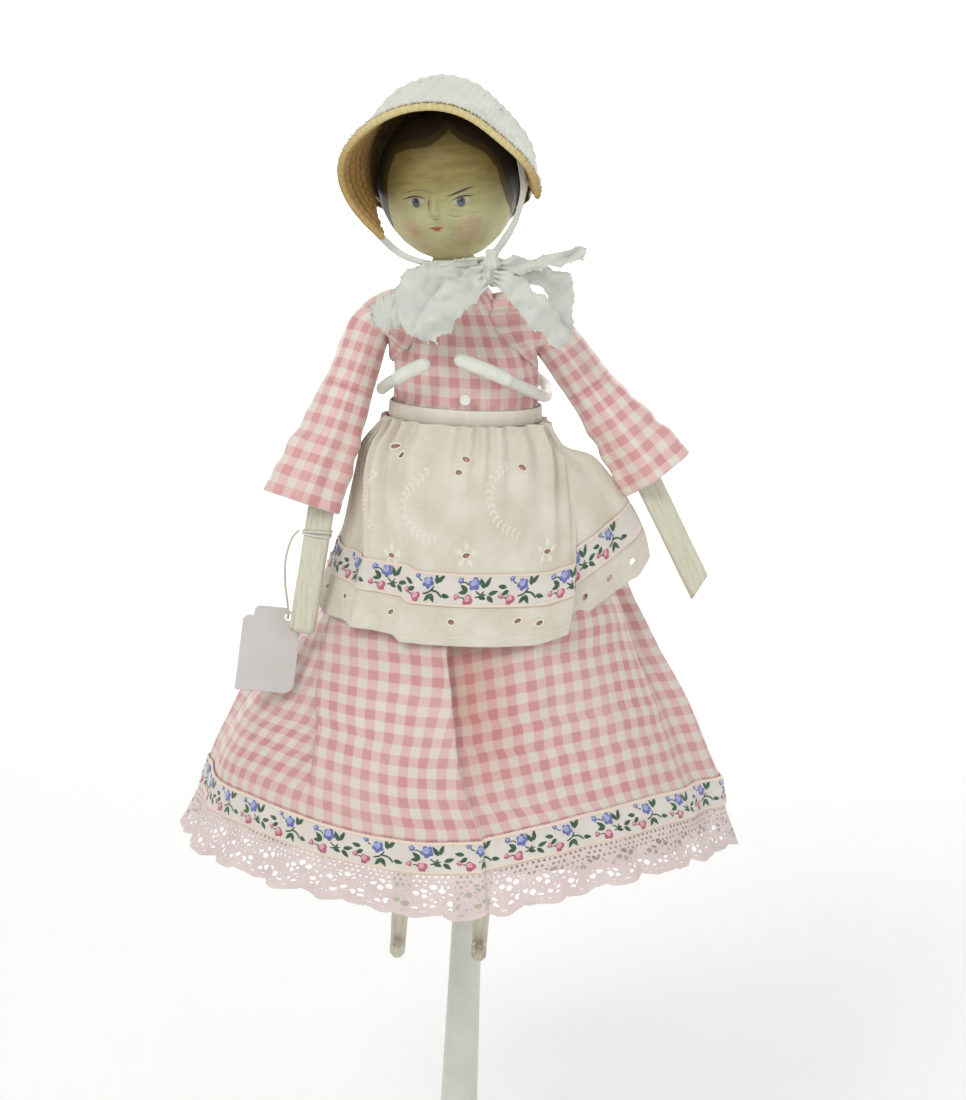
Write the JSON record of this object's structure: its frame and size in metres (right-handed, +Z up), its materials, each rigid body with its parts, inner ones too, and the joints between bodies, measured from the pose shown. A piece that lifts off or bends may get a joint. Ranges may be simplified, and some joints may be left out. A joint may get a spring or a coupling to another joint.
{
  "type": "dressed wooden doll on stand",
  "caption": "Jointed peg-wooden doll in a straw bonnet, pink gingham dress and eyelet apron, held at the waist by a wire clip on a white post stand.",
  "frame": {"origin": "centre of the base pad's underside, on the post's axis", "axes": "+Z up along the post; the doll faces -Y, with its own right side at -X"},
  "size_m": [0.1786, 0.1465, 0.4064],
  "materials": {
    "painted_wood": "old varnished and painted wood, worn at the edges",
    "white_enamel": "smooth satin white enamel",
    "bright_steel": "brushed",
    "felt": "matte felt",
    "soft_vinyl": "soft white vinyl",
    "straw": "plaited straw with a slight gloss",
    "white_cotton": "white cotton with a picot edge",
    "gingham": "pink and white woven check",
    "floral_ribbon": "woven ribbon with flowers",
    "pink_lace": "openwork lace",
    "eyelet_cotton": "cream cotton with eyelet embroidery",
    "card": "plain light grey card",
    "white_thread": "twisted cotton thread",
    "pearl_button": "pearly white"
  },
  "bodies": {
    "stand": {"base_pad": "felt", "base_plate": "white_enamel", "base_screw": "bright_steel", "post": "white_enamel", "collar": "bright_steel"},
    "clamp_screw": {"thumb_screw": "bright_steel"},
    "doll": {"rod": "bright_steel", "clip_block": "white_enamel", "clip_arm_right": "white_enamel", "clip_arm_left": "white_enamel", "clip_tip_right": "soft_vinyl", "clip_tip_left": "soft_vinyl", "head_and_torso": "painted_wood", "nose": "painted_wood", "shoulder_peg_right": "painted_wood", "shoulder_peg_left": "painted_wood", "hip_peg_right": "painted_wood", "hip_peg_left": "painted_wood", "bonnet_brim": "straw", "bonnet_edge": "straw", "bonnet_crown": "straw", "bonnet_cover": "white_cotton", "bonnet_tie_right": "white_cotton", "bonnet_tie_left": "white_cotton", "bow_knot": "white_cotton", "bow_loop_left": "white_cotton", "bow_tail_left": "white_cotton", "bow_loop_right": "white_cotton", "bow_tail_right": "white_cotton", "neck_frill": "white_cotton", "bodice": "gingham", "bodice_button": "pearl_button", "skirt": "gingham", "hem_ribbon": "floral_ribbon", "hem_lace": "pink_lace", "petticoat": "eyelet_cotton", "waistband": "eyelet_cotton", "apron": "eyelet_cotton", "apron_ribbon": "floral_ribbon", "apron_bow": "eyelet_cotton"},
    "upper_arm_right": {"upper_arm_right": "painted_wood", "sleeve_right": "gingham", "elbow_pin_right": "painted_wood"},
    "forearm_right": {"forearm_right": "painted_wood", "tag_string": "white_thread", "wrist_tag": "card"},
    "thigh_right": {"thigh_right": "painted_wood", "knee_pin_right": "painted_wood"},
    "lower_leg_right": {"lower_leg_right": "painted_wood"},
    "upper_arm_left": {"upper_arm_left": "painted_wood", "sleeve_left": "gingham", "elbow_pin_left": "painted_wood"},
    "forearm_left": {"forearm_left": "painted_wood"},
    "thigh_left": {"thigh_left": "painted_wood", "knee_pin_left": "painted_wood"},
    "lower_leg_left": {"lower_leg_left": "painted_wood"}
  },
  "joints": [
    {"name": "height_slide", "type": "slide", "parent": "stand", "child": "doll", "axis": [0, 0, 1], "range_m": [-0.03, 0.04]},
    {"name": "clamp_turn", "type": "hinge", "parent": "stand", "child": "clamp_screw", "pos_m": [0, 0.0082, 0.178], "axis": [0, 1, 0], "range_deg": [-180, 180]},
    {"name": "shoulder_right_swing", "type": "hinge", "parent": "doll", "child": "upper_arm_right", "pos_m": [-0.037, -0.025, 0.33], "axis": [-0.9608, 0, 0.2773], "range_deg": [0, 60], "deforming": ["sleeve_right"]},
    {"name": "elbow_right_bend", "type": "hinge", "parent": "upper_arm_right", "child": "forearm_right", "pos_m": [-0.05064, -0.03636, 0.28274], "axis": [-0.9608, 0, 0.2773], "range_deg": [0, 80]},
    {"name": "shoulder_left_swing", "type": "hinge", "parent": "doll", "child": "upper_arm_left", "pos_m": [0.016, -0.025, 0.33], "axis": [-0.7828, 0, -0.6223], "range_deg": [-35, 60], "deforming": ["sleeve_left"]},
    {"name": "elbow_left_bend", "type": "hinge", "parent": "upper_arm_left", "child": "forearm_left", "pos_m": [0.04776, -0.02767, 0.29006], "axis": [-0.7828, 0, -0.6223], "range_deg": [0, 80]},
    {"name": "hip_right_swing", "type": "hinge", "parent": "doll", "child": "thigh_right", "pos_m": [-0.019, -0.025, 0.272], "axis": [-0.9996, 0, 0.0267], "range_deg": [-10, 16]},
    {"name": "knee_right_bend", "type": "hinge", "parent": "thigh_right", "child": "lower_leg_right", "pos_m": [-0.02105, -0.02769, 0.19507], "axis": [0.9996, 0, -0.0267], "range_deg": [0, 30]},
    {"name": "hip_left_swing", "type": "hinge", "parent": "doll", "child": "thigh_left", "pos_m": [0.0086, -0.025, 0.272], "axis": [-0.9996, 0, 0.0267], "range_deg": [-3, 16]},
    {"name": "knee_left_bend", "type": "hinge", "parent": "thigh_left", "child": "lower_leg_left", "pos_m": [0.00655, -0.02769, 0.19507], "axis": [0.9996, 0, -0.0267], "range_deg": [0, 5]}
  ]
}
